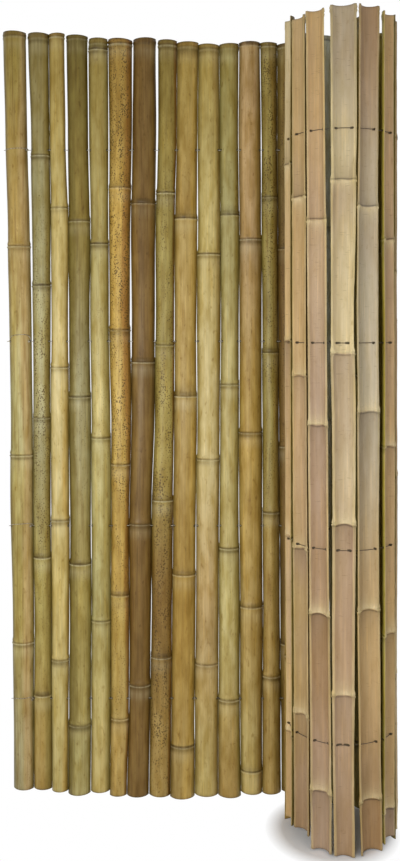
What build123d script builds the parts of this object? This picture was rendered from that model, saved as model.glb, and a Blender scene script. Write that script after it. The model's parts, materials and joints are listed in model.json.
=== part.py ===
# Bamboo screen: split canes threaded on four galvanised wires, part unrolled, the rest rolled up.
# Millimetres, +Z up. +X runs along the sheet from its free end to the roll, and the front faces -Y.
# The skins of the flat canes face the front. The sheet curls over its own front, so the roll shows
# the hollow insides of its canes. The origin is the middle of the whole at floor level.
import os
from math import acos, atan, cos, degrees, hypot, radians, sin

from build123d import *

# Canes
wall = 4.5                  # thickness of the culm's wall
node_swell = 1.6            # how far the skin stands out where it reaches a node
drill_flat = 7.5            # straight side of the skin by each cut edge, where the wires pass
hollow_flat = 8.5           # the same on the inside of the wall
flat_share = 0.8            # no straight side takes more of the section's depth than this
skin_flats = 4              # flats round the rest of the skin
hollow_flats = 2
stub = 25                   # a node nearer than this to an end is part of that end

# Wires and the holes they pass through
wire_heights = (235, 646, 1085, 1540)
wire_diameter = 1.8
wire_inset = 4.5            # from the cut edges of a cane in to the wire
hole_side = 4.2
wrap_clearance = 0.6        # between a wire and the skin that it is wrapped over
wrap_rise = 3.0             # a wrap comes back this much above the wire it is tied to
wrap_bends = 6

# How far a cutting tool runs past what it cuts
overrun = 1
rim_overrun = 0.1           # radians

# Plan of the sheet, measured along the wires
first_lean = 24             # the free end's top stands this far out past its foot
flat_run = 762              # from the free end to where the sheet starts to curl
roll_radius = 121           # of the outer turn, at the wires
outer_turn = 262            # degrees of the outer turn
inner_radius = 93           # of what lies inside it

# Each cane from the free end inwards. A width is across the cut edges, a gap is up to the next cane,
# depth is from the cut edges to the crown of the skin, lift is from the floor to the foot,
# and nodes are heights above the floor.
canes = (
    # foot: width, gap; top: width, gap; depth, lift, length, nodes
    (49.0, 2.5, 53.5, 8.0, 17.0, 20, 1802, (369, 814, 1311)),
    (41.0, 2.5, 46.5, 2.5, 15.0, 20, 1798, (243, 571, 903, 1218, 1527)),
    (37.5, 3.0, 38.0, 5.0, 14.0, 15, 1803, (327, 659, 1023, 1402)),
    (51.0, 2.5, 47.5, 5.0, 17.0, 8, 1805, (174, 556, 953, 1371)),
    (44.0, 2.5, 42.0, 4.5, 15.0, 14, 1792, (420, 855, 1317, 1779)),
    (37.0, 2.5, 55.0, 4.5, 15.0, 3, 1801, (187, 481, 792, 1112, 1450)),
    (49.0, 2.5, 52.5, 8.0, 18.0, 4, 1802, (268, 651, 1036, 1413)),
    (48.0, 2.5, 41.5, 2.5, 15.0, 4, 1798, (334, 707, 1076, 1438)),
    (55.0, 3.0, 48.0, 4.0, 17.0, 0, 1797, (123, 530, 955, 1377)),
    (54.0, 3.0, 48.0, 2.5, 16.0, 6, 1786, (317, 804, 1292)),
    (49.5, 3.0, 41.0, 4.0, 15.0, 2, 1792, (233, 593, 982, 1385)),
    (51.0, 2.5, 48.5, 4.0, 17.0, 10, 1787, (64, 454, 868, 1328)),
    (41.5, 3.0, 36.0, 2.5, 14.0, 10, 1786, (289, 678, 1058, 1428)),
    (52.5, 4.0, 56.5, 4.5, 16.0, 13, 1780, (365, 835, 1305)),
    (51.0, 4.0, 58.0, 5.0, 16.0, 6, 1790, (210, 640, 1080, 1490)),
    (47.0, 4.0, 47.0, 5.0, 15.0, 9, 1792, (330, 750, 1175)),
    (46.0, 4.0, 47.0, 5.0, 16.0, 2, 1801, (150, 590, 1020, 1430)),
    (50.0, 4.0, 48.0, 4.5, 15.0, 0, 1796, (400, 845, 1290)),
    (48.0, 4.0, 49.0, 4.5, 14.0, 7, 1793, (260, 700, 1130, 1540)),
    (49.0, 4.0, 48.0, 4.5, 15.0, 0, 1800, (350, 790, 1240)),
    (46.0, 4.0, 44.0, 13.0, 15.0, 12, 1784, (77, 457, 862, 1306)),
    (57.0, 10.0, 51.0, 4.0, 19.0, 2, 1800, (114, 518, 940, 1374)),
    (44.0, 3.0, 54.0, 12.0, 13.0, 1, 1800, (342, 703, 1064, 1429)),
    (48.5, 3.5, 45.0, 5.0, 16.0, 4, 1793, (131, 508, 911, 1347)),
    (46.0, 5.0, 38.0, 9.0, 15.0, 28, 1765, (280, 640, 1015, 1400)),
    (47.0, 4.0, 47.0, 4.0, 15.0, 26, 1780, (220, 655, 1090, 1480)),
    (49.0, 4.0, 49.0, 4.0, 14.0, 12, 1790, (380, 820, 1270)),
    (49.0, 4.0, 49.0, 4.0, 14.0, 0, 1800, (190, 610, 1050, 1460)),
    (50.0, 4.0, 50.0, 4.0, 13.0, 5, 1795, (440, 900, 1350)),
    (47.0, 4.0, 47.0, 4.0, 14.0, 3, 1798, (300, 720, 1150)),
    (46.0, 4.0, 46.0, 4.0, 14.0, 20, 1806, (170, 600, 1010, 1440)),
    (45.0, 4.0, 46.0, 4.0, 14.0, 8, 1790, (360, 800, 1260)),
)
screen_height = 1800        # the height at which the top widths and gaps are taken


def sheet_line(run):
    """Point of the sheet's plan line at a distance along it."""
    if run <= flat_run:
        return Vector(run, 0)
    point, heading, left = Vector(flat_run, 0), 0.0, run - flat_run
    for radius, length in ((roll_radius, radians(outer_turn) * roll_radius), (inner_radius, None)):
        step = left if length is None else min(left, length)
        centre = point + radius * Vector(sin(heading), -cos(heading))
        heading -= step / radius
        point = centre + radius * Vector(-sin(heading), cos(heading))
        left -= step
        if left <= 0:
            break
    return point


def knots(widths, gaps, start):
    """Points of the sheet's line in the middle of each gap, with one past each end cane."""
    run = start - gaps[0] / 2
    points = [sheet_line(run)]
    for index, (width, gap) in enumerate(zip(widths, gaps)):
        run += (gaps[index - 1] if index else gap) / 2 + width + gap / 2
        points.append(sheet_line(run))
    return points


foot_widths, foot_gaps, top_widths, top_gaps, depths, lifts, lengths, node_heights = zip(*canes)
foot_knots = knots(foot_widths, foot_gaps, 0)
top_knots = knots(top_widths, top_gaps, -first_lean)


def middle(points, widths, gaps, index):
    """Middle of a cane between two knots of one level, and the way across it."""
    across = (points[index + 1] - points[index]).normalized()
    return points[index] + across * ((gaps[max(index - 1, 0)] + widths[index]) / 2), across


def cane_frame(index):
    """Plane at the foot of a cane: X across it, Z up its length, its skin towards -Y."""
    foot, foot_across = middle(foot_knots, foot_widths, foot_gaps, index)
    top, top_across = middle(top_knots, top_widths, top_gaps, index)
    upright = (top + Vector(0, 0, screen_height) - foot).normalized()
    origin = foot + upright * (lifts[index] / upright.Z)
    return Plane(origin=origin, x_dir=foot_across + top_across, z_dir=upright)


def knot(index, height):
    """Where a wire at this height passes the gap before a cane."""
    share = height / screen_height
    return foot_knots[index] * (1 - share) + top_knots[index] * share + Vector(0, 0, height)


def half_width(index, height):
    share = height / screen_height
    return (foot_widths[index] * (1 - share) + top_widths[index] * share) / 2


def section(radius, axis, flat, flats):
    """Corners of a culm's section, open past the cut edges, with a straight side by each of them."""
    offset = axis - wire_inset
    side = acos((offset + min(flat, flat_share * (radius - offset))) / radius)
    rim = acos(offset / radius) + rim_overrun
    turns = [-rim] + [side * (2 * i / flats - 1) for i in range(flats + 1)] + [rim]
    return [(radius * sin(turn), axis - radius * cos(turn)) for turn in turns]


def make_cane(index):
    frame = cane_frame(index)
    depth, length = depths[index], lengths[index]
    mean = (foot_widths[index] + top_widths[index]) / 4
    offset = (mean * mean - depth * depth) / (2 * depth)
    axis = wire_inset + offset
    foot_radius = hypot(foot_widths[index] / 2, offset)
    top_radius = hypot(top_widths[index] / 2, offset)
    spread = (top_radius - foot_radius) / length

    nodes = [height - lifts[index] for height in node_heights[index]]
    levels = [0] + [node for node in nodes if stub < node < length - stub] + [length]
    with BuildPart() as cane:
        for low, high in zip(levels, levels[1:]):
            swell = node_swell if high < length else 0
            growth = (spread * (high - low) + swell) / (high - low)
            with BuildSketch(frame.offset(low)):
                with BuildLine():
                    Polyline(*section(foot_radius + spread * low, axis, drill_flat, skin_flats), close=True)
                make_face()
            extrude(amount=high - low, taper=-degrees(atan(growth)))
        rim_plane = Plane(frame.origin + frame.y_dir * wire_inset, z_dir=-frame.y_dir)
        split(bisect_by=rim_plane, keep=Keep.TOP)

        with BuildSketch(frame.offset(-overrun)):
            with BuildLine():
                Polyline(*section(foot_radius - wall, axis, hollow_flat, hollow_flats), close=True)
            make_face()
        extrude(amount=length + 2 * overrun, taper=-degrees(atan(spread)), mode=Mode.SUBTRACT)

        for height in wire_heights:
            enters, leaves = knot(index, height), knot(index + 1, height)
            with BuildSketch(Plane(origin=enters, x_dir=(0, 0, 1), z_dir=leaves - enters)):
                Rectangle(hole_side, hole_side)
            extrude(amount=(leaves - enters).length, mode=Mode.SUBTRACT)
    return cane.part


def wrap(index, height, side):
    """Route of a wire from the gap outside an end cane, over its skin, into the gap inside it."""
    enters, leaves = knot(index, height), knot(index + 1, height)
    across = (leaves - enters).normalized()
    back = Vector(0, 0, 1).cross(across)
    half, depth = half_width(index, height), depths[index]
    offset = (half * half - depth * depth) / (2 * depth)
    reach = hypot(half, offset) + node_swell + wrap_clearance + wire_diameter / 2
    edge = acos((offset + wire_inset) / reach)
    route = []
    for step in range(wrap_bends):
        turn = side * edge * (1 - 2 * step / (wrap_bends - 1))
        over_skin = across * (reach * sin(turn)) + back * (wire_inset + offset - reach * cos(turn))
        rise = Vector(0, 0, wrap_rise * step / (wrap_bends - 1))
        route.append((enters + leaves) / 2 + over_skin + rise)
    return route


def make_wire(height):
    last = len(canes) - 1
    first_bend = next(i for i in range(last) if foot_knots[i].Y < 0 or top_knots[i].Y < 0) - 1
    bends = [knot(index, height) for index in range(first_bend, last + 1)]
    route = wrap(0, height, -1)[::-1] + bends + wrap(last, height, 1)
    with BuildPart() as wire:
        with BuildLine() as path:
            Polyline(*route)
        with BuildSketch(Plane(origin=path.line @ 0, z_dir=path.line % 0)):
            RegularPolygon(wire_diameter / 2, 6)
        sweep(path=path.line, transition=Transition.RIGHT)
    return wire.part


pieces = {f"cane_{index + 1:02}": make_cane(index) for index in range(len(canes))}
for number, height in enumerate(wire_heights, start=1):
    pieces[f"wire_{number}"] = make_wire(height)

# The whole moves so that the middle of its plan is the origin
boxes = [piece.bounding_box() for piece in pieces.values()]
left, right = min(box.min.X for box in boxes), max(box.max.X for box in boxes)
front, rear = min(box.min.Y for box in boxes), max(box.max.Y for box in boxes)
lowest = min(box.min.Z for box in boxes)
to_origin = Location((-(left + right) / 2, -(front + rear) / 2, -lowest))

os.makedirs("parts", exist_ok=True)
for name, piece in pieces.items():
    placed = piece.moved(to_origin)
    placed.label = name
    export_step(placed, f"parts/{name}.step")
print(f"{len(pieces)} pieces, {right - left:.0f} mm along the sheet, {rear - front:.0f} mm deep")
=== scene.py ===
import json
import math

import bpy
import numpy as np
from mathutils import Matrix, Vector
from mathutils.kdtree import KDTree


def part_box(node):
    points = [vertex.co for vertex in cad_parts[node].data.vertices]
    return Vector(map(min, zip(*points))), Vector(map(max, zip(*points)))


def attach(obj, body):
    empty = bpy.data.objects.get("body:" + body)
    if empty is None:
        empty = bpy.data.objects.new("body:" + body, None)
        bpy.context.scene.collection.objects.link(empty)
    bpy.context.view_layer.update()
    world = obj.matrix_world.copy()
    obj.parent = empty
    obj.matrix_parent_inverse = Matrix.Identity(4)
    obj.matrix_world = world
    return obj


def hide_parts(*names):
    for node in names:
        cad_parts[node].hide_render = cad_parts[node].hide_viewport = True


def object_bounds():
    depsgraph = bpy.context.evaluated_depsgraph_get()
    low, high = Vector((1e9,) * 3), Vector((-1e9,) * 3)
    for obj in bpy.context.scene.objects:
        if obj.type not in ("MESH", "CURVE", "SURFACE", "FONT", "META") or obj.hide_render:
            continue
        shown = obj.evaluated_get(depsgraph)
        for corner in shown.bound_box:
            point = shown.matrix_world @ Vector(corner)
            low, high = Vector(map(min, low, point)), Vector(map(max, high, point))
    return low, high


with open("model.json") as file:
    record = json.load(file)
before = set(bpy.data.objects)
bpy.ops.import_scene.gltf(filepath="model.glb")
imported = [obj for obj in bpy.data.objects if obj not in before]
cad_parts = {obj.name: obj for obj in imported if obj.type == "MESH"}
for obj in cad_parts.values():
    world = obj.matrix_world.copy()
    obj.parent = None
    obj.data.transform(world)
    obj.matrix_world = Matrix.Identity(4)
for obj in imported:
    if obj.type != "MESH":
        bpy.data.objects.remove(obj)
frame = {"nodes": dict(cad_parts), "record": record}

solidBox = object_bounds()
mm = 0.001
print("frame loaded:", len(frame["nodes"]), "nodes")


def addObject(name, data):
    made = bpy.data.objects.new(name, data)
    bpy.context.scene.collection.objects.link(made)
    return made


def addMesh(name, points, faces):
    mesh = bpy.data.meshes.new(name)
    mesh.from_pydata(np.array(points).tolist(), [], faces)
    return mesh


# camera

cameraSet = {
    "distance": 2.122,  # from the camera to the cut edges at the back of the flat run
    "aside": 0.0145,  # right of the middle of the screen
    "height": 1.118,
    "focalPixels": 889,
    "horizonRow": 327.5,  # eye level, in rows of the picture from its top
    "picture": (400, 861),
    "sensor": 36,  # mm along the picture's longer side
}


def addCamera():
    width, height = cameraSet["picture"]
    longer = max(width, height)
    data = bpy.data.cameras.new("camera")
    data.sensor_width = cameraSet["sensor"]
    data.lens = cameraSet["focalPixels"] / longer * cameraSet["sensor"]
    data.shift_y = -(height / 2 - cameraSet["horizonRow"]) / longer
    camera = addObject("camera", data)
    backOfRun = solidBox[1].y
    camera.location = (cameraSet["aside"], backOfRun - cameraSet["distance"], cameraSet["height"])
    camera.rotation_euler = (math.radians(90), 0, 0)  # level
    bpy.context.scene.camera = camera


addCamera()
print("camera placed")


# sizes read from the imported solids

reading = {
    "endBand": 3 * mm,  # what lies this near an end of a cane belongs to its end face
    "endClear": 1 * mm,  # and nothing this near an end is a node
    "crownBand": 0.5 * mm,  # what lies this near the middle of a cane is on its crown line
    "wireInset": 4.5 * mm,  # from the cut edges in to the wire
    "wireRadius": 0.9 * mm,
    "outside": 2.5 * mm,  # from an end cane out to its last knot
}


def unit(vector):
    return vector / np.linalg.norm(vector)


def solidPoints(name):
    mesh = frame["nodes"][name].data
    points = np.empty(len(mesh.vertices) * 3)
    mesh.vertices.foreach_get("co", points)
    return points.reshape(-1, 3)


def farthestPair(points):
    apart = np.linalg.norm(points[:, None] - points[None], axis=2)
    return points[list(np.unravel_index(apart.argmax(), apart.shape))]


# The cut edges, the crown, the wall and the nodes of one cane, with its own directions
def measureCane(name):
    points = solidPoints(name)
    height = points[:, 2]
    foot = points[height < height.min() + reading["endBand"]]
    top = points[height > height.max() - reading["endBand"]]
    footEdges, topEdges = farthestPair(foot), farthestPair(top)
    footMiddle, topMiddle = footEdges.mean(axis=0), topEdges.mean(axis=0)
    up = unit(topMiddle - footMiddle)
    crown = unit(np.cross(up, footEdges[1] - footEdges[0]))
    if crown @ (foot.mean(axis=0) - footMiddle) < 0:
        crown = -crown
    across = np.cross(up, crown)
    local = points - footMiddle
    along, out = local @ up, local @ crown
    length = along.max()
    onCrown = np.abs(local @ across) < reading["crownBand"]
    footCrown = out[onCrown & (along < reading["endBand"])]
    topCrown = out[onCrown & (along > length - reading["endBand"])]
    halfFoot = np.linalg.norm(footEdges[1] - footEdges[0]) / 2
    halfTop = np.linalg.norm(topEdges[1] - topEdges[0]) / 2
    depth = footCrown.max()
    wall = depth - footCrown.min()
    skinDepth = depth + (topCrown.max() - depth) * along / length
    clear = (along > reading["endClear"]) & (along < length - reading["endClear"])
    onSkin = onCrown & (out > skinDepth - wall / 2) & clear
    return {
        "name": name, "foot": footMiddle, "up": up, "crown": crown, "across": across,
        "length": length, "halfFoot": halfFoot, "halfTop": halfTop, "wall": wall,
        "offset": (halfFoot ** 2 - depth ** 2) / (2 * depth),
        "nodes": sorted(set(np.round(along[onSkin] / mm) * mm)),
    }


canes = [measureCane(name) for name in sorted(frame["nodes"]) if name.startswith("cane_")]
wireNames = [name for name in sorted(frame["nodes"]) if name.startswith("wire_")]
wireHeights = [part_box(name)[0].z + reading["wireRadius"] for name in wireNames]
slotOf = {part["node"]: part["material_slot"] for part in frame["record"]["subparts"]}


def halfWidth(cane, along):
    return cane["halfFoot"] + (cane["halfTop"] - cane["halfFoot"]) * along / cane["length"]


# Points on the two cut edges of a cane, or this far in from them, at heights above the floor
def edgesAt(cane, height, inset=0.0):
    along = (np.atleast_1d(height) - cane["foot"][2]) / cane["up"][2]
    half = halfWidth(cane, along)[:, None] * cane["across"]
    middle = cane["foot"] + along[:, None] * cane["up"] + inset * cane["crown"]
    return middle - half, middle + half


# One knot in the middle of each gap, and one outside each end cane
def wireKnots(height):
    edges = [edgesAt(cane, height, reading["wireInset"]) for cane in canes]
    gaps = [(before[1][0] + after[0][0]) / 2 for before, after in zip(edges, edges[1:])]
    first = edges[0][0][0] - canes[0]["across"] * reading["outside"]
    last = edges[-1][1][0] + canes[-1]["across"] * reading["outside"]
    return [first] + gaps + [last]


knotsAt = [wireKnots(height) for height in wireHeights]
print("canes measured:", len(canes), "on", len(wireHeights), "wires")


# irregularity

anyPhase = (0, 6)  # radians, nearly a whole turn


def smooth(share):
    share = np.clip(share, 0, 1)
    return share * share * (3 - 2 * share)


def bump(distance, width):
    return np.exp(-(distance / width) ** 2)


# Bumps of these heights, widths and places, added up
def ridges(past, shapes):
    return sum(height * bump(past - place, width) for height, width, place in shapes)


# A smooth random line with a new value at every spacing
def wander(dice, place, spacing, size):
    place = (place - place.min()) / spacing
    values = dice.normal(0, size, int(place.max()) + 2)
    low = place.astype(int)
    return values[low] + (values[low + 1] - values[low]) * smooth(place - low)


# A wave round a cane, with as many radians from its crown to an edge as lie between two limits
def wave(dice, turn, limits):
    return np.sin(turn * dice.uniform(*limits) + dice.uniform(*anyPhase))


# colours

tones = {  # as they look, 0 to 255
    "stone": (164, 154, 114),
    "paleStraw": (204, 188, 134),
    "straw": (194, 176, 114),
    "warmStraw": (194, 164, 116),
    "oldStraw": (170, 148, 80),
    "honey": (190, 154, 76),
    "golden": (188, 158, 84),
    "amber": (158, 128, 60),
    "tan": (176, 150, 88),
    "tanPink": (182, 156, 106),
    "paleSage": (190, 176, 118),
    "sage": (172, 160, 104),
    "olive": (158, 142, 78),
    "greyGreen": (160, 152, 108),
    "darkSage": (138, 126, 78),
    "deepOlive": (142, 124, 60),
    "darkOlive": (116, 102, 44),
    "brown": (128, 100, 48),
    "darkBrown": (118, 90, 38),
    "mauveBrown": (134, 108, 68),
    "darkMauve": (116, 90, 44),
    "brownOlive": (142, 118, 58),
    "rust": (150, 104, 40),
    "insideTan": (194, 164, 116),
    "insidePink": (190, 162, 126),
    "insideMauve": (172, 146, 120),
    "insideCream": (212, 194, 152),
    "insideGrey": (190, 176, 148),
    "insideBrown": (158, 128, 92),
    "cutEdge": (206, 188, 130),
    # painted light: far paler than a skin's own grey, for a skin that stands in the roll's shade
    "shadedGrey": (232, 234, 216),
    # painted light: brighter than a skin's own olive, for skins that stand in the roll's shade
    "litOlive": (190, 176, 82),
    "darkMark": (66, 50, 18),
    "dot": (80, 58, 16),
    "waxAndHighlight": (214, 206, 166),
    "sawn": (128, 106, 70),
    "wireBright": (178, 168, 144),
    "wireDull": (84, 72, 56),
}


# From a tone as it looks to the share of light that Blender works with
def toneOf(name):
    share = np.array(tones[name]) / 255
    return np.where(share <= 0.04045, share / 12.92, ((share + 0.055) / 1.055) ** 2.4)


def paintOf(name):
    return (*toneOf(name), 1)


# Values or colours spread evenly from the foot to the top
def spread(stops, share):
    stops = np.array(stops, dtype=float)
    place = np.clip(share, 0, 1) * (len(stops) - 1)
    low = np.clip(place.astype(int), 0, max(len(stops) - 2, 0))
    high = np.minimum(low + 1, len(stops) - 1)
    part = smooth(place - low)
    if stops.ndim > 1:
        part = part[..., None]
    return stops[low] * (1 - part) + stops[high] * part


def tonesAlong(names, share):
    return spread([toneOf(name) for name in names.split()], share)


# canes

# Each gap of the flat run from the free end on: how wide it is, and how far it wanders along the sheet,
# in mm at even heights from the foot to the top
gapLooks = {
    0: {"drift": (2, 4, 5, 3, 6, 6, 5, 2, 0)},
    1: {"open": (0.2, 0.3, 1.0, 0.5, 1.8, 4, 5.5, 9, 5), "drift": (0, 2, 5, 4, 6, 6, 5, 3, 0)},
    2: {"open": (0.2, 0.2, 0.3, 1.5, 1.2, 2.8, 1.5, 0.3, 0.6), "drift": (0, 0, 1, 0, 0, 2, 3, 1, 0)},
    3: {"open": (0.2, 1.6, 1.8, 1.8, 1.2, 2.6, 1.2, 5.5, 5), "drift": (-2, 0, 3, 4, 3, 3, 4, 0, -2)},
    4: {"open": (0.6, 1.0, 1.4, 1.6, 1.8, 1.8, 2, 2.5, 3.5), "drift": (-2, 0, 2, 2, 3, 1, 3, 0, 0)},
    5: {"open": (0.2, 0.2, 0.3, 0.5, 1.5, 2, 2.2, 2.4, 2), "drift": (-3, 0, 1, 3, 3, 0, 0, 1, 0)},
    6: {"open": (0.8, 0.8, 0.4, 1.0, 0.3, 4.5, 3, 0.8, 3), "drift": (-2, 2, 1, -1, 3, 0, -2, 0, 0)},
    7: {"open": (0.6, 1.4, 1.6, 0.6, 1.8, 2, 2.4, 4.5, 6), "drift": (-1, 0, 0, -2, 3, 2, 0, 2, -1)},
    8: {"open": (0.1, 0.4, 1.0, 1.5, 1.8, 1.6, 1.4, 0.1, 0.1), "drift": (-1, 0, 0, 0, 1, 0, -2, 1, 0)},
    9: {"open": (0.4, 1.2, 1.6, 1.8, 1.6, 2, 2.6, 0.4, 0.1), "drift": (0, -1, 0, 0, 1, -1, 0, -1, 0)},
    10: {"open": (0.4, 0.8, 1.0, 1.6, 1.4, 1.6, 0.3, 0.1, 0.1), "drift": (-1, -1, 0, 0, 2, 3, 2, 0, -2)},
    11: {"open": (0.3, 0.8, 1.2, 1.5, 1.8, 1.8, 1.0, 0.8, 1), "drift": (1, -1, 0, -2, -1, 0, 1, -1, 1)},
    12: {"open": (0.3, 1.0, 1.4, 1.6, 1.6, 1.8, 1.4, 1.2, 1.2), "drift": (-2, -1, 1, 1, 1, 1, 1, 1, -1)},
    13: {"open": (1.2, 1.6, 1.4, 0.8, 0.2, 0.1, 0.1, 0.1, 0.1),
         "drift": (-1, -1, -1, -1, -1, -1, -1, -1, 0)},
    # On the front of the roll, how much wider a gap is than between the solids
    21: {"wider": (0, 4, 5, 5, 3, 5, 4, 2, -2), "drift": (0, 2, 2.5, 2.5, 1.5, 2.5, 2, 1, -1)},
    22: {"wider": (2, -0.5, -4, -4, -4.5, -3, -3.5, -3, -1), "drift": (-2, 2, 2, 1, 1, 4, 1, -2, -2)},
    23: {"wider": (-1, -3.5, -3, 0, 0, -2, 0, 0, 0), "drift": (0, 0, 1, 0, 0, 1, 0, 0, 0)},
    24: {"wider": (-2.5, -2.5), "drift": (-2, -2.5)},
    25: {"wider": (-2, -2)},
}
topHeight = 1.8  # where those lists end

# Tones of the skin or of the inside, and amounts of speckle, run from the foot to the top. A side is a
# strip of another tone: where it lies round the skin, from -1 to 1, and how wide it is
# Darker sides on the right are partly painted shade on the side turned from the light at the left, and partly
# the culm's own colour
caneLooks = {
    "cane_01": {"skin": "stone olive sage tan deepOlive", "side": ("tanPink", 0.6, 0.35),
        "speckle": (0.3, 0.2, 0.3), "streak": 1.0},
    "cane_02": {"skin": "tan olive greyGreen greyGreen darkSage",
        "side": ("deepOlive", 0.6, 0.3), "speckle": (0.2, 0.9, 0.1)},
    "cane_03": {"skin": "straw straw paleStraw straw oldStraw", "side": ("golden", 0.8, 0.3),
        "speckle": (0.1, 0.1), "streak": 0.2},
    "cane_04": {"skin": "sage olive greyGreen deepOlive darkOlive",
        "side": ("darkOlive", -0.6, 0.4), "speckle": (0.2, 0.4, 0.1), "streak": 0.7},
    "cane_05": {"skin": "straw sage paleSage sage olive", "side": ("olive", 0.7, 0.3),
        "speckle": (0.1, 0.4, 0.1), "streak": 0.3},
    "cane_06": {"skin": "tan golden golden golden amber", "side": ("rust", 0.8, 0.35),
        "speckle": (0.4, 0.6, 0.9, 1.0, 1.0), "streak": 0.5},
    "cane_07": {"skin": "brown darkBrown brown brown darkBrown", "side": ("darkMauve", 0, 0.3),
        "speckle": (0.1, 0.2), "streak": 0.8},
    "cane_08": {"skin": "tan brown olive olive deepOlive", "side": ("rust", 0.9, 0.2),
        "speckle": (0.9, 1.0, 0.7, 0.4), "streak": 0.5},
    "cane_09": {"skin": "tan amber tan tan oldStraw", "side": ("golden", 0.7, 0.35),
        "speckle": (0.2, 0.3)},
    "cane_10": {"skin": "straw tanPink paleStraw straw oldStraw", "side": ("tan", 0.8, 0.3),
        "speckle": (0.1, 0.2), "streak": 0.2},
    "cane_11": {"skin": "tan paleSage paleSage sage olive", "side": ("olive", 0.7, 0.3),
        "speckle": (0.3, 0.1), "streak": 0.3},
    "cane_12": {"skin": "straw tan golden warmStraw warmStraw", "side": ("amber", 0.75, 0.35),
        "speckle": (0.2, 0.3), "streak": 0.5},
    "cane_13": {"skin": "tan tan olive olive olive", "side": ("brownOlive", 0.6, 0.4),
        "speckle": (0.3, 0.9), "streak": 0.8},
    # its dark tones and dark right side are partly painted shade from the roll beside it
    "cane_14": {"skin": "brownOlive brown brown brownOlive", "side": ("brown", 0.6, 0.4),
        "speckle": (0.5, 0.8), "streak": 0.8},
    # painted light: this skin, seen through a gap deep in the roll, is brighter than its own olive
    "cane_18": {"skin": "litOlive litOlive"},
    "cane_20": {"skin": "deepOlive olive"},
    # painted light: this skin, seen through a gap deep in the roll, is brighter than its own olive
    "cane_21": {"inside": "insideTan insideTan insideTan insidePink insideTan",
        "skin": "litOlive litOlive"},
    "cane_22": {"inside": "insideBrown insideTan insideGrey insideGrey insideBrown"},
    "cane_23": {"inside": "insideBrown insidePink insideCream insideCream insideGrey"},
    "cane_24": {"inside": "insideMauve insideBrown insideMauve insidePink insideTan"},
    "cane_25": {"inside": "insideBrown tan insideTan insideTan insideTan"},
    "cane_26": {"inside": "insideTan insideTan insideTan insideCream",
        "skin": "olive deepOlive"},
    "cane_28": {"skin": "olive olive"},
    # painted light: its pale grey shows lit from above although it stands in the roll's shade
    "cane_29": {"skin": "greyGreen shadedGrey shadedGrey"},
}
slotSkins = {  # where a cane has no tones of its own
    "bamboo_olive": "olive sage deepOlive",
    "bamboo_straw": "straw paleStraw straw",
    "bamboo_sage": "paleSage sage sage",
    "bamboo_golden": "tan golden honey",
    "bamboo_brown": "brown mauveBrown brownOlive",
}
insideTones = ("insideTan", "insidePink", "insideMauve", "insideGrey", "insideCream")
surfaces = ("skin", "cutEdge", "inside", "sawnEnd")  # in the order of a cane's materials

culm = {
    "seed": 100,
    "columns": 19,  # round the skin, and as many round the inside
    "rowStep": 15 * mm,
    "rowLeast": 0.3 * mm,
    "nodeRows": (-40, -28, -18, -12, -8, -5, -3.4, -2.4, -1.6, -1, -0.5, 0,
                 0.5, 1, 1.6, 2.4, 3.4, 4.8, 6.5, 9, 13),  # in mm from the node
    "endRows": (0, 0.5, 1.2, 2.2, 3.6, 5.5, 8, 11, 15, 20),  # in mm from an end
    "holeRows": (-6, -4, -3, 0, 3, 4, 6),  # in mm from a wire
    "edgeColumns": (0.12, 0.5, 0.88),  # across a cut edge
    "skinRipple": (90 * mm, 0.12 * mm),  # spacing and size
    "wallRipple": (200 * mm, 0.3 * mm),
    "growth": 1.0 * mm,  # how much a culm thickens on its way up to a node
    "fall": 6 * mm,  # how far above the node that is lost again
    "skinRings": (  # at a node: height, width and place
        (1.4 * mm, 1.8 * mm, -1.8 * mm),  # the scar of the sheath
        (-0.6 * mm, 1.2 * mm, 1.2 * mm),  # the groove
        (1.4 * mm, 4 * mm, 6 * mm),  # the upper ridge
    ),
    "ringStrength": (0.75, 1.25),
    "ringLean": 0.5 * mm,  # how far a ring strays from level
    "ringWaves": (1.5, 4),
    "ledge": (2.8 * mm, 6 * mm),  # inside: height and width of the ridge
    "partition": (1.6 * mm, 1.0 * mm),  # the torn rim of the partition
    "torn": ((0.4, (5, 9)), (0.25, (17, 23))),  # how much of that rim is lost, and in how many waves
    "collar": 11 * mm,  # from the sawn top down to the ring under it
    "collarShare": (0.7, 1.4),
    "edgeRound": 0.35 * mm,
    "edgeLoss": 0.5 * mm,  # how much wider two such edges make a gap look
    "edgeGrain": 0.05 * mm,
    "edgeRipple": 0.16 * mm,
    "edgeSpacings": (6 * mm, 150 * mm),
    "flare": (1.4 * mm, 5 * mm, 2 * mm),  # how the cut edges stand up at a node
    "flareShare": (0.3, 1),
    "bulge": 0.8,  # how much of a gap a node may fill
    "freeBulge": 3 * mm,  # and how far it may stand out where there is no such gap
    "crook": 0.7 * mm,
    "crookMost": 1.0 * mm,
    "crookSpacings": (280 * mm, 350 * mm),  # sideways, and out
    "crookStart": 50 * mm,  # how far up from the foot it has its full size
    "sawTilt": 2.2 * mm,
    "sawnBand": 15 * mm,
    "sharp": 50,  # degrees, the least turn that shows as an edge
    "holeRadius": 2.4 * mm,
    "holeSides": 14,
    "holeReach": 12 * mm,  # how far the drill runs past the knots
    "rimLeast": 0.02 * mm,  # a point at least this far from all old ones is on the rim of a hole
    "holeRimKeeps": 0.22,  # how much of its tone the rim of a hole keeps
}


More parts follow.
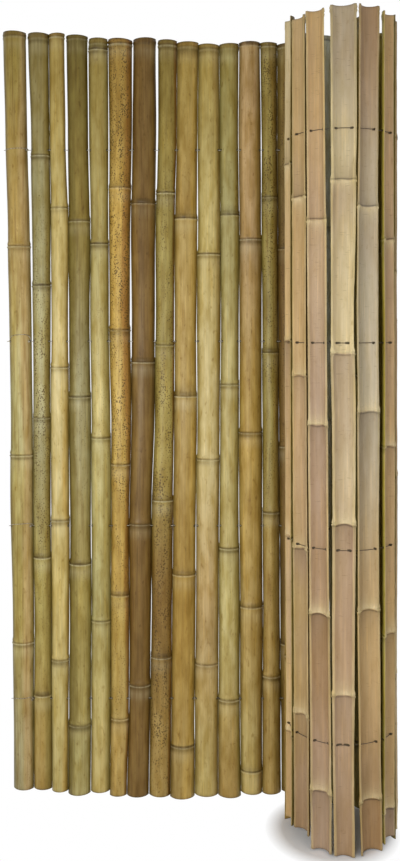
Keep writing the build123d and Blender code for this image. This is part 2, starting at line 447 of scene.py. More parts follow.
def caneRows(cane):
    length = cane["length"]
    fine = [step * mm for step in culm["endRows"]]
    fine += [length - step * mm for step in culm["endRows"]]
    for node in cane["nodes"]:
        fine += [node + step * mm for step in culm["nodeRows"]]
    for height in wireHeights:
        passes = (height - cane["foot"][2]) / cane["up"][2]
        fine += [passes + step * mm for step in culm["holeRows"]]
    fine = sorted(place for place in fine if 0 <= place <= length)
    rows = [fine[0]]
    for place in fine[1:]:
        if place - rows[-1] > culm["rowLeast"]:
            rows.append(place)
    rows[-1] = length
    fineRows = np.array(rows)
    clear = culm["rowStep"] / 2
    for place in np.arange(0, length, culm["rowStep"]):
        if np.abs(fineRows - place).min() > clear:
            rows.append(place)
    return np.array(sorted(rows))


def gapLine(looks, label, share):
    return spread(looks.get(label, (0,)), share) * mm


# The left and right edges of a cane at each row, and how far its skin may reach on each side
def caneSpan(index, along):
    cane = canes[index]
    half = halfWidth(cane, along)
    height = cane["foot"][2] + along * cane["up"][2]
    share = height / topHeight
    edges, limits = [], []
    for gap, side in ((index, -1), (index + 1, 1)):
        looks = gapLooks.get(gap, {})
        room = 0
        if 0 < gap < len(canes):
            before, after = edgesAt(canes[gap - 1], height)[1], edgesAt(canes[gap], height)[0]
            room = np.linalg.norm(after - before, axis=1)
        opening = room + gapLine(looks, "wider", share)
        if "open" in looks:
            opening = gapLine(looks, "open", share) - culm["edgeLoss"]
        drift = gapLine(looks, "drift", share)
        edge = half + (room - opening) / 2
        edges.append(side * edge + drift)
        reach = culm["freeBulge"]
        if looks and gap:
            reach = culm["bulge"] * np.maximum(opening, 0)
        limits.append(side * (edge + reach) + drift)
    return edges, limits


# The nodes of a cane, and the ring under its sawn top
def ringsOf(cane):
    return cane["nodes"] + [cane["length"] - cane["collar"]]


# How much the culm has thickened at each row on its way up to the next node
def culmGrowth(cane, along):
    grown = np.zeros_like(along)
    levels = [0] + cane["nodes"]
    for low, high in zip(levels, levels[1:]):
        inside = (along >= low) & (along <= high)
        grown[inside] = culm["growth"] * smooth((along[inside] - low) / (high - low)) ** 2
    for node in cane["nodes"]:
        past = along - node
        above = (past > 0) & (past < culm["fall"])
        left = culm["growth"] * (1 - smooth(past[above] / culm["fall"]))
        grown[above] = np.maximum(grown[above], left)
    return grown


# Outer and inner radius of the culm at each row and column
def caneRadii(cane, along, turn, dice):
    base = np.hypot(halfWidth(cane, along), cane["offset"]) + culmGrowth(cane, along)
    base = base + wander(dice, along, *culm["skinRipple"])
    outer = np.repeat(base[:, None], len(turn), axis=1)
    wall = cane["wall"] + wander(dice, along, *culm["wallRipple"])
    inner = outer - wall[:, None]
    ledge, ledgeWidth = culm["ledge"]
    rim, rimWidth = culm["partition"]
    for node in ringsOf(cane):
        lean = culm["ringLean"] * wave(dice, turn, culm["ringWaves"])
        past = along[:, None] - node - lean[None]
        strength = dice.uniform(*culm["ringStrength"])
        outer += strength * ridges(past, culm["skinRings"])
        left = 1
        for loss, limits in culm["torn"]:
            left = left * (1 - loss + loss * wave(dice, turn, limits))
        if node in cane["nodes"]:
            inner -= strength * (ledge * bump(past, ledgeWidth) + rim * left * bump(past, rimWidth))
    return outer, inner


# Rings of points from the foot up, each round the skin, a cut edge, the inside and the other edge
def caneRings(index, along, dice):
    cane = canes[index]
    turn = np.linspace(-1, 1, culm["columns"])
    outer, inner = caneRadii(cane, along, turn, dice)
    offset = cane["offset"]
    cuts = []  # how deep the left and the right cut run
    for _ in ("left", "right"):
        cut = sum(wander(dice, along, spacing, culm["edgeRipple"]) for spacing in culm["edgeSpacings"])
        for node in cane["nodes"]:
            cut -= dice.uniform(*culm["flareShare"]) * ridges(along - node, [culm["flare"]])
        cuts.append(cut)
    depth = cuts[0][:, None] * (1 - turn) / 2 + cuts[1][:, None] * (1 + turn) / 2

    def arc(radius):
        rim = np.arccos(np.clip((offset + depth + culm["edgeRound"]) / radius, -1, 1))
        return radius * np.sin(rim * turn), radius * np.cos(rim * turn) - offset

    outX, outD = arc(outer)
    inX, inD = arc(inner)
    share = np.array(culm["edgeColumns"])[None]
    edgeX, edgeD = [], []
    for column, level in ((-1, cuts[1]), (0, cuts[0])):
        edgeX.append(outX[:, [column]] * (1 - share) + inX[:, [column]] * share)
        edgeD.append(level[:, None] + dice.normal(0, culm["edgeGrain"], edgeX[-1].shape))
    ringX = np.hstack([outX, edgeX[0], inX[:, ::-1], edgeX[1][:, ::-1]])
    ringD = np.hstack([outD, edgeD[0], inD[:, ::-1], edgeD[1][:, ::-1]])

    most = culm["crookMost"]
    grows = smooth(along / culm["crookStart"])
    aside, lift = [np.clip(wander(dice, along, spacing, culm["crook"]), -most, most) * grows
                   for spacing in culm["crookSpacings"]]
    edges, limits = caneSpan(index, along)
    stretch = (edges[1] - edges[0]) / 2 / halfWidth(cane, along)
    middle = (edges[1] + edges[0]) / 2
    if index not in gapLooks:
        middle = middle + aside
    ringX = np.clip(ringX * stretch[:, None] + middle[:, None], limits[0][:, None], limits[1][:, None])
    ringD = ringD + lift[:, None]
    cane["section"] = (along, outer[:, len(turn) // 2], stretch, middle, lift)

    rowPlace = np.repeat(along[:, None], ringX.shape[1], axis=1)
    reach = ringX / cane["halfFoot"]
    footTilt, topTilt = dice.uniform(-1, 1, 2) * culm["sawTilt"]
    nearFoot = 1 - smooth(rowPlace / culm["sawnBand"])
    nearTop = 1 - smooth((cane["length"] - rowPlace) / culm["sawnBand"])
    rowPlace = rowPlace + nearFoot * (abs(footTilt) + footTilt * reach) / 2
    rowPlace = rowPlace - nearTop * (abs(topTilt) + topTilt * reach) / 2
    return ringX, ringD, rowPlace


# The faces of a cane, and which of its surfaces each belongs to
def caneFaces(rows, ring):
    count, edge = culm["columns"], len(culm["edgeColumns"])
    row, column = np.meshgrid(np.arange(rows - 1), np.arange(ring), indexing="ij")
    following = (column + 1) % ring
    walls = np.stack([row * ring + column, row * ring + following,
                      (row + 1) * ring + following, (row + 1) * ring + column], axis=-1)
    kind = np.full(ring, surfaces.index("cutEdge"))
    kind[:count - 1] = surfaces.index("skin")
    kind[count + edge:2 * count + edge - 1] = surfaces.index("inside")
    innerOf = [2 * count + edge - 1 - k for k in range(count)]
    caps = [[k, k + 1, innerOf[k + 1], innerOf[k]] for k in range(count - 1)]
    caps.append(list(range(count - 1, count + edge + 1)))
    caps.append(list(range(2 * count + edge - 1, ring)) + [0])
    last = (rows - 1) * ring
    ends = [[last + k for k in cap] for cap in caps] + [cap[::-1] for cap in caps]
    faces = walls.reshape(-1, 4).tolist() + ends
    kinds = np.repeat(kind[None], rows - 1, axis=0).reshape(-1).tolist()
    return faces, kinds + [surfaces.index("sawnEnd")] * len(ends)


paint = {
    "warmth": (0.6, 0, -1),  # what a warmer stretch gains in red, green and blue
    "skinStretches": (0.05, 0.025),  # how much stretches between nodes differ in light and in warmth
    "insideStretches": (0.06, 0.03),
    "skinChange": (120 * mm, 0.04),  # spacing and size
    "sideChange": (250 * mm, 0.12),
    "sideAmount": 0.8,
    "sideReach": 1.5,  # where a side is gone, in widths from its middle
    # painted shade: the flat run's skin darker towards its edges, where the culm turns from the light and
    # meets its neighbours
    "paintedEdgeShade": (0.5, 0.5, 0.62),  # how much darker the skin of the flat run is along its edges
    "edgeReach": (0.45, 0.52),  # from where round the skin, and over how much of it
    "flatCanes": 14,
    "ringDark": (0.35, 0.9),
    "ringPlace": 1.8 * mm,
    "ringWidth": (1.8 * mm, 3.0 * mm),
    "smudgeDark": (0.25, 0.75),
    "smudgeAbove": 0.3,  # the share of the nodes that have their smudge above them
    "smudgePlaces": (7 * mm, -6.5 * mm),  # above, and below
    "smudgeWidth": (3.5 * mm, 7 * mm),
    # a thin pale line on the sheath scar, partly wax and partly painted highlight, then a broader band of wax
    # below
    "waxAndHighlightPale": (0.4, 1.0),
    "waxAndHighlightBands": ((1, 1.6 * mm, -2 * mm), (0.35, 12 * mm, -20 * mm)),  # strength, width and place
    "collarEdge": 3 * mm,
    "collarDark": (0.3, 1.2),
    "collarShade": (0.16, 0.24, 0.34),
    "endDarkReach": 2.5 * mm,
    "speckle": (0.2, 0.4, 0.2),
    "streak": 0.4,
    "cutShare": 0.3,  # how much a cut edge differs from the inside
    "cutChange": (50 * mm, 0.05),
    # inside, how far the tone of a stretch turns mauve: at its foot, towards its top and to its right
    "mauve": ((-0.2, 0.4), (-0.4, 0.6), (-0.3, 0.3)),
    "mauveChange": (100 * mm, 0.12),
    # eye level: a node's pale band, partly painted highlight, lies on the side that faces it, with painted
    # shadow and shade on the other
    "bandEyeLevel": 1.118,  # up to this height a pale band is above its node, and higher up below it
    "bandLean": 1 * mm,
    "bandWaves": (2, 5),
    # the pale band is partly the cream of the torn partition and partly painted highlight
    "bandPaleAndHighlight": (0.6, 1.0),
    "bandEdge": (2 * mm, 3 * mm),  # past the node, and how soft it is
    "bandFade": 13 * mm,
    # a painted shadow line beyond the node, on the side away from eye level, and painted shade past it
    "shadowLineDark": (0.4, 0.7),
    "shadowLinePlace": 3.5 * mm,
    "shadowLineWidth": 1.6 * mm,
    "shadeDark": (0.1, 0.3),
    "shadeEdge": (2 * mm, 2 * mm),
    "shadeFade": 50 * mm,
    "endDarkening": (0.6, 1.6 * mm),  # how dark the inside is at a sawn end, and how far up
}


# From below the foot to the first node, from there to the next, and so on past the top
def stretchesOf(cane):
    levels = [-1] + cane["nodes"] + [cane["length"] + 1]
    return zip(levels, levels[1:])


# One tint for each stretch between two nodes
def stretchTints(cane, along, dice, bright, warm):
    tints = np.ones((len(along), 3))
    for low, high in stretchesOf(cane):
        warmer = 1 + dice.normal(0, warm) * np.array(paint["warmth"])
        tints[(along >= low) & (along < high)] = (1 + dice.normal(0, bright)) * warmer
    return tints


def paintInside(cane, along, turn, dice):
    looks = caneLooks.get(cane["name"], {})
    names = looks.get("inside", " ".join(dice.permutation(insideTones)[:3]))
    main = tonesAlong(names, along / cane["length"])
    share = np.zeros((len(along), len(turn)))
    for low, high in stretchesOf(cane):
        rows = (along >= low) & (along < high)
        reach = (along[rows, None] - low) / (high - low)
        start, rise, slant = [dice.uniform(*limits) for limits in paint["mauve"]]
        share[rows] = start + rise * reach + slant * turn
    share = np.clip(share + wander(dice, along, *paint["mauveChange"])[:, None], 0, 1)[..., None]
    inside = main[:, None] * (1 - share) + toneOf("insideMauve") * share
    inside = inside * stretchTints(cane, along, dice, *paint["insideStretches"])[:, None]
    bandEnd, bandSoft = paint["bandEdge"]
    shadeStart, shadeSoft = paint["shadeEdge"]
    # At each node inside: a pale band towards eye level, partly the cream of the torn partition and partly
    # painted highlight; on its other side a painted shadow line and painted shade
    for node in cane["nodes"]:
        past = along[:, None] - node + paint["bandLean"] * wave(dice, turn, paint["bandWaves"])
        side = 1 if cane["foot"][2] + node > paint["bandEyeLevel"] else -1
        away = side * past
        band = smooth((bandEnd - away) / bandSoft) * np.exp(np.minimum(away, 0) / paint["bandFade"])
        pale = (dice.uniform(*paint["bandPaleAndHighlight"]) * band)[..., None]
        line = bump(away - paint["shadowLinePlace"], paint["shadowLineWidth"])
        line = (dice.uniform(*paint["shadowLineDark"]) * line)[..., None]
        fade = np.exp(-np.clip(away, 0, None) / paint["shadeFade"])
        shade = smooth((away - shadeStart) / shadeSoft) * fade
        shade = (dice.uniform(*paint["shadeDark"]) * shade)[..., None]
        inside = (inside * (1 - pale) + toneOf("insideCream") * pale) * (1 - line) * (1 - shade)
    # the inside darker near the sawn ends
    darkMark, insideEndReach = paint["endDarkening"]
    endGap = np.minimum(along, cane["length"] - along)[:, None, None]
    return inside * (1 - darkMark * np.exp(-endGap / insideEndReach))


def paintSkin(index, along, turn, dice):
    cane = canes[index]
    looks = caneLooks.get(cane["name"], {})
    names = looks.get("skin", slotSkins[slotOf[cane["name"]]])
    skin = tonesAlong(names, along / cane["length"])
    skin = skin * stretchTints(cane, along, dice, *paint["skinStretches"])
    skin = skin * (1 + wander(dice, along, *paint["skinChange"]))[:, None]
    skin = np.repeat(skin[:, None], len(turn), axis=1)
    # A side strip: partly the culm's own colour, and where it is darker on the right, partly painted shade
    if "side" in looks:
        name, place, width = looks["side"]
        line = place + wander(dice, along, *paint["sideChange"])
        nearness = paint["sideReach"] - np.abs(turn[None] - line[:, None]) / width
        amount = paint["sideAmount"] * smooth(nearness)[..., None]
        skin = skin * (1 - amount) + toneOf(name) * amount
    # Painted shade along both edges of the flat run's skin, where the culm turns from the light and meets its
    # neighbours
    if index < paint["flatCanes"]:
        start, reach = paint["edgeReach"]
        nearEdge = smooth((np.abs(turn) - start) / reach)[None, :, None]
        skin = skin * (1 - np.array(paint["paintedEdgeShade"]) * nearEdge)
    return skin


# What marks each row: rings, wax with a painted highlight, speckle and streaks
def caneMarks(cane, along, dice):
    looks = caneLooks.get(cane["name"], {})
    marks = np.zeros((len(along), 4))
    for node in ringsOf(cane):
        past = along - node
        dark, pale = dice.uniform(*paint["ringDark"]), dice.uniform(*paint["waxAndHighlightPale"])
        smudge = dice.uniform(*paint["smudgeDark"])
        place = paint["smudgePlaces"][int(dice.uniform() > paint["smudgeAbove"])]
        marks[:, 0] += dark * bump(past - paint["ringPlace"], dice.uniform(*paint["ringWidth"]))
        marks[:, 0] += smudge * bump(past - place, dice.uniform(*paint["smudgeWidth"]))
        # a thin pale line on the scar, partly painted highlight, and a wax band below
        marks[:, 1] += pale * ridges(past, paint["waxAndHighlightBands"])
    # the skin darker near the sawn ends
    endGap = np.minimum(along, cane["length"] - along)
    marks[:, 0] += np.exp(-endGap / paint["endDarkReach"])
    marks[:, 2] = spread(looks.get("speckle", paint["speckle"]), along / cane["length"])
    marks[:, 3] = looks.get("streak", paint["streak"])
    return marks


# Colour and marks of each point, ring by ring
def paintCane(index, along, ring, dice):
    cane = canes[index]
    count, edge = culm["columns"], len(culm["edgeColumns"])
    turn = np.linspace(-1, 1, count)
    skin = paintSkin(index, along, turn, dice)
    inside = paintInside(cane, along, turn, dice)
    marks = caneMarks(cane, along, dice)
    collar = smooth((along - cane["length"] + cane["collar"]) / paint["collarEdge"])[:, None, None]
    skin = skin * (1 - collar * dice.uniform(*paint["collarDark"]) * np.array(paint["collarShade"]))
    cutTone = toneOf("cutEdge") * (1 + wander(dice, along, *paint["cutChange"]))[:, None]
    cutShare = paint["cutShare"]
    colour = np.ones((len(along), ring, 4))
    colour[:, :count, :3] = skin
    colour[:, count + edge:2 * count + edge, :3] = inside[:, ::-1]
    colour[:, count:count + edge, :3] = (cutTone * cutShare + inside[:, -1] * (1 - cutShare))[:, None]
    colour[:, 2 * count + edge:, :3] = (cutTone * cutShare + inside[:, 0] * (1 - cutShare))[:, None]
    return colour.reshape(-1, 4), np.repeat(marks[:, None], ring, axis=1).reshape(-1, 4)


def circle(centre, first, second, radius, sides):
    angles = [2 * math.pi * step / sides for step in range(sides)]
    return [centre + radius * (math.cos(angle) * first + math.sin(angle) * second) for angle in angles]


# Round bars along the wires, through one cane
def drillBars(index):
    points, faces = [], []
    sides, reach = culm["holeSides"], culm["holeReach"]
    for knots in knotsAt:
        way = unit(knots[index + 1] - knots[index])
        level = unit(np.cross(way, (0, 0, 1)))
        rise = np.cross(level, way)
        near = list(range(len(points), len(points) + sides))
        far = [k + sides for k in near]
        for centre in (knots[index] - way * reach, knots[index + 1] + way * reach):
            points += circle(centre, level, rise, culm["holeRadius"], sides)
        faces += [near, far[::-1]]
        faces += [[near[k], far[k], far[(k + 1) % sides], near[(k + 1) % sides]] for k in range(sides)]
    return points, faces


# The bars cut both walls of the cane
def drillCane(piece, index):
    toolMesh = addMesh("drill", *drillBars(index))
    toolMesh.materials.append(piece.data.materials[surfaces.index("cutEdge")])
    tool = addObject("drill", toolMesh)
    cut = piece.modifiers.new("holes", "BOOLEAN")
    cut.operation = "DIFFERENCE"
    cut.solver = "MANIFOLD"
    cut.object = tool
    seen = bpy.context.evaluated_depsgraph_get()
    drilled = bpy.data.meshes.new_from_object(piece.evaluated_get(seen))
    piece.modifiers.clear()
    piece.data = drilled
    bpy.data.objects.remove(tool)


# Each point of the drilled mesh is painted as the nearest old one, and the rims of the holes dark
def layPaint(mesh, points, colour, marks):
    tree = KDTree(len(points))
    for number, point in enumerate(points):
        tree.insert(point, number)
    tree.balance()
    found = [tree.find(vertex.co)[1:] for vertex in mesh.vertices]
    nearest = np.array([number for number, _ in found])
    isRim = np.array([apart for _, apart in found]) > culm["rimLeast"]
    colour, marks = colour[nearest], marks[nearest]
    colour[isRim, :3] *= culm["holeRimKeeps"]
    for label, values in (("tone", colour), ("marks", marks)):
        layer = mesh.attributes.new(label, "FLOAT_COLOR", "POINT")
        layer.data.foreach_set("color", np.clip(values, 0, 1).reshape(-1))


def addCane(index, materials):
    cane = canes[index]
    dice = np.random.default_rng(culm["seed"] + index)
    cane["collar"] = culm["collar"] * dice.uniform(*culm["collarShare"])
    along = caneRows(cane)
    ringX, ringD, rowPlace = caneRings(index, along, dice)
    ring = ringX.shape[1]
    points = (cane["foot"] + rowPlace[..., None] * cane["up"] + ringX[..., None] * cane["across"]
              + ringD[..., None] * cane["crown"]).reshape(-1, 3)
    faces, kinds = caneFaces(len(along), ring)
    mesh = addMesh(cane["name"] + "_culm", points, faces)
    for material in materials:
        mesh.materials.append(material)
    mesh.polygons.foreach_set("material_index", kinds)
    piece = addObject(cane["name"] + "_culm", mesh)
    drillCane(piece, index)
    layPaint(piece.data, points, *paintCane(index, along, ring, dice))
    piece.data.shade_smooth()
    piece.data.set_sharp_from_angle(angle=math.radians(culm["sharp"]))
    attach(piece, "root")
    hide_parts(cane["name"])


# materials

def addNode(tree, kind, inputs, **options):
    made = tree.nodes.new(kind)
    for option, value in options.items():
        setattr(made, option, value)
    for socket, value in inputs.items():
        if isinstance(value, bpy.types.NodeSocket):
            tree.links.new(value, made.inputs[socket])
        else:
            made.inputs[socket].default_value = value
    return made


def addMaterial(name):
    material = bpy.data.materials.new(name)
    material.use_nodes = True
    return material, material.node_tree, material.node_tree.nodes["Principled BSDF"]


def placeOf(tree):
    return addNode(tree, "ShaderNodeTexCoord", {}).outputs["Object"]


# Noise whose grain is this long along each axis
def grain(tree, size, detail, shift=0.0):
    inputs = {0: placeOf(tree), 1: [1 / length for length in size], 2: (shift, shift, shift)}
    scaled = addNode(tree, "ShaderNodeVectorMath", inputs, operation="MULTIPLY_ADD").outputs[0]
    noise = addNode(tree, "ShaderNodeTexNoise", {"Vector": scaled, "Scale": 1.0, "Detail": detail})
    return noise.outputs["Fac"]


# How far a point is from the middle of its own dot, dots standing about this far apart
def cells(tree, size):
    inputs = {0: placeOf(tree), 1: [1 / length for length in size]}
    scaled = addNode(tree, "ShaderNodeVectorMath", inputs, operation="MULTIPLY").outputs[0]
    return addNode(tree, "ShaderNodeTexVoronoi", {"Vector": scaled, "Scale": 1.0}).outputs["Distance"]


# A value between two ends is turned into one between two others
def between(tree, value, ends, result=(0.0, 1.0)):
    low, high = result
    inputs = {"Value": value, "From Min": ends[0], "From Max": ends[1], "To Min": low, "To Max": high}
    return addNode(tree, "ShaderNodeMapRange", inputs).outputs["Result"]


def maths(tree, operation, first, second):
    return addNode(tree, "ShaderNodeMath", {0: first, 1: second}, operation=operation).outputs[0]


def times(tree, product, *factors):
    for factor in factors:
        product = maths(tree, "MULTIPLY", product, factor)
    return product


def tint(tree, colour, amount, other, blend="MIX"):
    inputs = {0: amount, 6: colour, 7: other}  # the amount, and the node's two colour sockets
    return addNode(tree, "ShaderNodeMix", inputs, data_type="RGBA", blend_type=blend).outputs[2]


grains = {  # length of the grain along each axis, its detail, and how far it is shifted from the others
    "fibre": ((2.2 * mm, 2.2 * mm, 70 * mm), 4.0, 0.0),
    "coarse": ((5 * mm, 5 * mm, 150 * mm), 3.0, 7.0),
    "patches": ((16 * mm, 16 * mm, 60 * mm), 4.0, 3.0),
    "blots": ((7 * mm, 7 * mm, 16 * mm), 3.0, 11.0),
    "dotClouds": ((16 * mm, 16 * mm, 70 * mm), 2.0, 9.0),
    "nicks": ((20 * mm, 20 * mm, 1.6 * mm), 1.0, 13.0),
}
stains = (  # its noise, the values between which it comes in, its strength, and what it multiplies the tone by
    ("patches", (0.38, 0.66), "mottle", (0.70, 0.62, 0.36, 1)),
    ("blots", (0.6, 0.78), "mottle", (0.60, 0.50, 0.30, 1)),
    ("coarse", (0.5, 0.68), "streak", (0.62, 0.48, 0.28, 1)),
)
weather = {
    "pale": (0.48, 0.3),  # between these values of its noise each mark comes in
    "fibre": (0.3, 0.7),
    "dotClouds": (0.6, 0.4),
    "nicks": (0.7, 0.76),
    "waxAndHighlightEdge": (0.3, 0.65),
    "ringEdge": (0.25, 0.6),
    "gloss": (0.3, 0.7),
    "paleTone": (1.16, 1.13, 1.06, 1),
    "dotSpacing": (4 * mm, 4 * mm, 4.6 * mm),
    "dotRadius": (0.2, 0.46),  # as shares of that, outside the clouds and in them
    "dotStrength": 0.85,
    "waxAndHighlightLeft": (1.0, 0.35),  # at the two ends of its noise
    "ringLeft": (0.5, 1.0),
    "sawnShare": 0.7,
    "shine": 0.25,
    "coatRoughness": 0.3,
}
finishes = {
    "skin": {"fibre": 0.09, "streak": 0.6, "mottle": 0.85, "speckle": 1.0, "ring": 0.9, "waxAndHighlight": 0.7,
             "nicks": 0.0, "roughness": (0.36, 0.54), "bump": 0.1 * mm, "coat": 0.02},
    "cutEdge": {"fibre": 0.16, "streak": 0.3, "mottle": 0.4, "speckle": 0.2, "ring": 0.3, "waxAndHighlight": 0.0,
                "nicks": 0.1, "roughness": (0.6, 0.75), "bump": 0.25 * mm, "coat": 0.0},
    "inside": {"fibre": 0.05, "streak": 0.2, "mottle": 0.3, "speckle": 0.2, "ring": 0.0, "waxAndHighlight": 0.0,
               "nicks": 0.35, "roughness": (0.42, 0.6), "bump": 0.08 * mm, "coat": 0.0},
    "sawnEnd": {"fibre": 0.25, "streak": 0.5, "mottle": 0.3, "speckle": 0.4, "ring": 0.5, "waxAndHighlight": 0.0,
                "nicks": 0.0, "roughness": (0.75, 0.9), "bump": 0.2 * mm, "coat": 0.0},
}


# The tone of a cane with all that the weather and the plant have left on it
def weathered(tree, colour, noise, finish):
    marks = addNode(tree, "ShaderNodeVertexColor", {}, layer_name="marks").outputs
    split = addNode(tree, "ShaderNodeSeparateColor", {0: marks["Color"]}).outputs
    rings, waxAndHighlight, speckles, streaks = split[0], split[1], split[2], marks["Alpha"]

    for label, ends, share, tone in stains:
        amount = between(tree, noise[label], ends, (0.0, finish[share]))
        if share == "streak":
            amount = times(tree, amount, streaks)
        colour = tint(tree, colour, amount, tone, "MULTIPLY")
    pale = between(tree, noise["coarse"], weather["pale"])
    colour = tint(tree, colour, pale, weather["paleTone"], "MULTIPLY")
    fibres = between(tree, noise["fibre"], weather["fibre"], (1 - finish["fibre"], 1 + finish["fibre"]))
    colour = tint(tree, colour, 1.0, fibres, "MULTIPLY")

    radius = between(tree, noise["dotClouds"], weather["dotClouds"], weather["dotRadius"])
    spots = maths(tree, "LESS_THAN", cells(tree, weather["dotSpacing"]), times(tree, radius, speckles))
    dotted = times(tree, spots, finish["speckle"] * weather["dotStrength"])
    colour = tint(tree, colour, dotted, paintOf("dot"))
    nicked = between(tree, noise["nicks"], weather["nicks"], (0.0, finish["nicks"]))
    colour = tint(tree, colour, nicked, paintOf("darkMark"))
    waxAndHighlightLeft = between(tree, noise["coarse"], weather["waxAndHighlightEdge"], weather["waxAndHighlightLeft"])
    colour = tint(tree, colour, times(tree, waxAndHighlight, waxAndHighlightLeft, finish["waxAndHighlight"]), paintOf("waxAndHighlight"))
    ringLeft = between(tree, noise["patches"], weather["ringEdge"], weather["ringLeft"])
    return tint(tree, colour, times(tree, rings, ringLeft, finish["ring"]), paintOf("darkMark"))


def bambooMaterial(name):
    finish = finishes[name]
    material, tree, shader = addMaterial("bamboo_" + name)
    noise = {label: grain(tree, *look) for label, look in grains.items()}
    colour = addNode(tree, "ShaderNodeVertexColor", {}, layer_name="tone").outputs["Color"]
    if name == "sawnEnd":
        colour = tint(tree, colour, weather["sawnShare"], paintOf("sawn"))
    tree.links.new(weathered(tree, colour, noise, finish), shader.inputs["Base Color"])
    roughness = between(tree, noise["coarse"], weather["gloss"], finish["roughness"])
    tree.links.new(roughness, shader.inputs["Roughness"])
    height = maths(tree, "ADD", noise["fibre"], noise["patches"])
    relief = addNode(tree, "ShaderNodeBump", {"Height": height, "Strength": 1.0, "Distance": finish["bump"]})
    tree.links.new(relief.outputs[0], shader.inputs["Normal"])
    shader.inputs["Specular IOR Level"].default_value = weather["shine"]
    shader.inputs["Coat Weight"].default_value = finish["coat"]
    shader.inputs["Coat Roughness"].default_value = weather["coatRoughness"]
    return material


bamboo = [bambooMaterial(name) for name in surfaces]
print("bamboo materials made")
for number in range(len(canes)):
    addCane(number, bamboo)
print("canes modelled")


# wires

wireSet = {
    "seed": 500,
    "sides": 8,
    "radius": 0.75 * mm,
    "slack": (0.12 * mm, 0.12 * mm, 0.4 * mm),  # how far a wire wanders in the gaps
    "clearance": 0.3 * mm,  # between a wrap and the skin
    "rise": 3 * mm,  # from the hole up to where the wrap comes back
    "bows": (3 * mm, 5 * mm, 14 * mm, 0.5 * mm),  # how far each wrap arches up, from the lowest wire
    "bowPower": 4,  # the higher, the flatter the top of the arch
    "wrapPoints": 15,
    "twistOut": 2 * mm,  # from the gap out to where the ends are twisted together
    "twistTurns": 2.5,
    "twistSteps": 20,
    "twistRadius": 1.8 * mm,
    "twistLength": 7 * mm,
    "tail": 4 * mm,
    "cornerCut": 0.25,
    "cornerPasses": 2,
    "tubeStart": (0.1, 0.2, 1),  # a direction that no wire has
    "grain": ((3 * mm, 3 * mm, 3 * mm), 2.0),
    "dulled": (0.42, 0.66),  # between these values of its noise
    # painted shade: the wire takes its dull tone in the front of the roll, where it lies in shade
    "rolled": (-0.04, 0.04),  # between these places along Y it goes dull, on its way round the roll
    "gloss": (0.3, 0.7),
    "roughness": (0.5, 0.7),
    "metallic": 0.25,
}


def tube(points):
    radius, sides = wireSet["radius"], wireSet["sides"]
    ways = np.gradient(points, axis=0)
    ways /= np.linalg.norm(ways, axis=1)[:, None]
    side = unit(np.cross(ways[0], wireSet["tubeStart"]))
    verts, faces = [], []
    for point, way in zip(points, ways):
        side = unit(side - way * (side @ way))
        verts += circle(point, side, np.cross(way, side), radius, sides)
    for row in range(len(points) - 1):
        for step in range(sides):
            here, there = row * sides + step, row * sides + (step + 1) % sides
            faces.append([here, there, there + sides, here + sides])
    faces.append(list(range(sides))[::-1])
    faces.append([len(verts) - sides + step for step in range(sides)])
    return verts, faces


# The corners of a route are cut until it bends as a wire does
def rounded(points):
    points = np.array(points)
    cut = wireSet["cornerCut"]
    for _ in range(wireSet["cornerPasses"]):
        first = points[:-1] * (1 - cut) + points[1:] * cut
        second = points[:-1] * cut + points[1:] * (1 - cut)
        inner = np.stack([first, second], axis=1).reshape(-1, 3)
        points = np.vstack([points[:1], inner, points[-1:]])
    return points


# One strand of the twisted end, from its tip down into the gap
def twistedEnd(root, out, across, phase, tail):
    up = np.cross(out, across)
    points = [root + out * (wireSet["twistLength"] + tail) + up * tail]
    steps = wireSet["twistSteps"]
    for step in range(steps + 1):
        angle = phase + 2 * math.pi * wireSet["twistTurns"] * step / steps
        centre = root + out * wireSet["twistLength"] * (1 - step / steps)
        points.append(centre + wireSet["twistRadius"] * (math.cos(angle) * across + math.sin(angle) * up))
    return points


# Over the skin of an end cane, from its inner gap round to the hole in its outer edge
def endWrap(index, height, inward, bow):
    cane = canes[index]
    passes = (height - cane["foot"][2]) / cane["up"][2]
    away = reading["wireRadius"] + wireSet["clearance"]

    def skinAt(place):
        return [np.interp(place, cane["section"][0], line) for line in cane["section"][1:]]

    edge = math.acos((cane["offset"] + reading["wireInset"]) / (skinAt(passes)[0] + away))
    points = []
    for share in np.linspace(inward, -inward, wireSet["wrapPoints"]):
        arch = bow * (1 - share ** wireSet["bowPower"])
        place = passes + wireSet["rise"] * (1 + inward * share) / 2 + arch
        radius, stretch, middle, lift = skinAt(place)
        aside = middle + stretch * (radius + away) * math.sin(share * edge)
        out = lift + (radius + away) * math.cos(share * edge) - cane["offset"]
        points.append(cane["foot"] + place * cane["up"] + aside * cane["across"] + out * cane["crown"])
    return points


def zincMaterial():
    material, tree, shader = addMaterial("galvanised_wire")
    patches = grain(tree, *wireSet["grain"])
    depth = addNode(tree, "ShaderNodeSeparateXYZ", {0: placeOf(tree)}).outputs["Y"]
    dull = paintOf("wireDull")
    bright = tint(tree, paintOf("wireBright"), between(tree, patches, wireSet["dulled"]), dull)
    # Painted shade: dull in the front of the roll, bright elsewhere
    colour = tint(tree, dull, between(tree, depth, wireSet["rolled"]), bright)
    tree.links.new(colour, shader.inputs["Base Color"])
    roughness = between(tree, patches, wireSet["gloss"], wireSet["roughness"])
    tree.links.new(roughness, shader.inputs["Roughness"])
    shader.inputs["Metallic"].default_value = wireSet["metallic"]
    return material


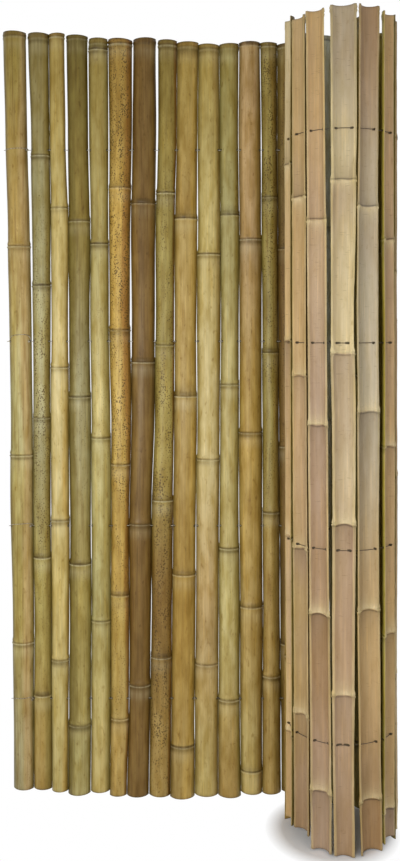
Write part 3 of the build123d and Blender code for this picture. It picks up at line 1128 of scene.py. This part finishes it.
def addWire(number, material):
    name, height = wireNames[number], wireHeights[number]
    dice = np.random.default_rng(wireSet["seed"] + number)
    knots = [knot + dice.normal(0, 1, 3) * wireSet["slack"] for knot in knotsAt[number]]
    route, twins = knots, []
    for index, inward in ((0, 1), (len(canes) - 1, -1)):
        out, across = canes[index]["crown"], canes[index]["across"]
        root = knots[1 if inward > 0 else -2] + out * wireSet["twistOut"]
        phase = dice.uniform(*anyPhase)
        twins.append(twistedEnd(root, out, across, phase + math.pi, wireSet["tail"] / 2))
        ending = twistedEnd(root, out, across, phase, wireSet["tail"])
        ending += endWrap(index, height, inward, wireSet["bows"][number])
        route = ending + route if inward > 0 else route + ending[::-1]
    verts, faces = tube(rounded(route))
    for twin in twins:
        more, moreFaces = tube(rounded(twin))
        faces += [[k + len(verts) for k in face] for face in moreFaces]
        verts += more
    mesh = addMesh(name + "_drawn", verts, faces)
    mesh.materials.append(material)
    mesh.shade_smooth()
    piece = addObject(name + "_drawn", mesh)
    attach(piece, "root")
    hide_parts(name)


zinc = zincMaterial()
for number in range(len(wireNames)):
    addWire(number, zinc)
print("wires modelled")


# floor, lamps and background

stageSet = {
    "floorRadius": 6.0,
    "floorSides": 48,
    "floorColour": (0.86, 0.86, 0.87, 1),
    "floorRoughness": 0.8,
    "floorShine": 0.1,
    "white": (1, 1, 1, 1),
    "worldStrength": 0.36,
    "firstRolled": 20,  # the number of the first cane in the roll
    "whiteFrom": (0.11, 0.15),  # the floor turns white between these distances from the roll's middle
    "lamps": {
        "key": {"place": (-0.6, -1.45, 0.9), "aim": (-0.05, 0, 0.85), "size": (1.3, 0.5), "power": 18.5},
        "fill": {"place": (1.4, -1.9, 1.1), "aim": (0.1, 0, 1.0), "size": (1.2, 1.0), "power": 6},
        "rear": {"place": (-0.3, 2.0, 1.2), "aim": (0, 0, 0.9), "size": (1.6, 1.2), "power": 14},
    },
}


def addLamp(name, lamp):
    data = bpy.data.lights.new(name, "AREA")
    data.shape = "RECTANGLE"
    data.size, data.size_y = lamp["size"]
    data.energy = lamp["power"]
    made = addObject(name, data)
    made.location = lamp["place"]
    made.rotation_mode = "QUATERNION"
    made.rotation_quaternion = (Vector(lamp["aim"]) - Vector(lamp["place"])).to_track_quat("-Z", "Y")


# One for the rays that see the background, and zero for those that light the object
def backgroundRays(tree):
    rays = addNode(tree, "ShaderNodeLightPath", {}).outputs
    seen = rays["Is Camera Ray"]
    for kind in ("Is Glossy Ray", "Is Transmission Ray"):
        seen = maths(tree, "MAXIMUM", seen, rays[kind])
    return seen


def addWorld():
    world = bpy.data.worlds.new("studio")
    bpy.context.scene.world = world
    world.use_nodes = True
    tree = world.node_tree
    background = tree.nodes["Background"]
    background.inputs["Color"].default_value = stageSet["white"]
    strength = between(tree, backgroundRays(tree), (0, 1), (stageSet["worldStrength"], 1.0))
    tree.links.new(strength, background.inputs["Strength"])


def addFloor():
    radius, sides = stageSet["floorRadius"], stageSet["floorSides"]
    corners = circle(np.zeros(3), np.array([1, 0, 0]), np.array([0, 1, 0]), radius, sides)
    mesh = addMesh("floor", corners, [list(range(sides))])
    material, tree, shader = addMaterial("floor")
    shader.inputs["Base Color"].default_value = stageSet["floorColour"]
    shader.inputs["Roughness"].default_value = stageSet["floorRoughness"]
    shader.inputs["Specular IOR Level"].default_value = stageSet["floorShine"]
    white = addNode(tree, "ShaderNodeEmission", {"Color": stageSet["white"], "Strength": 1.0})
    middle = np.mean([cane["foot"] for cane in canes[stageSet["firstRolled"]:]], axis=0)
    far = addNode(tree, "ShaderNodeVectorMath", {0: placeOf(tree), 1: (middle[0], middle[1], 0)},
                  operation="DISTANCE").outputs["Value"]
    share = times(tree, between(tree, far, stageSet["whiteFrom"]), backgroundRays(tree))
    mixed = addNode(tree, "ShaderNodeMixShader", {0: share, 1: shader.outputs[0], 2: white.outputs[0]})
    tree.links.new(mixed.outputs[0], tree.nodes["Material Output"].inputs["Surface"])
    mesh.materials.append(material)
    floor = addObject("floor", mesh)


addWorld()
for name, lamp in stageSet["lamps"].items():
    addLamp(name, lamp)
addFloor()
bpy.context.scene.view_settings.view_transform = "Standard"
print("stage set")
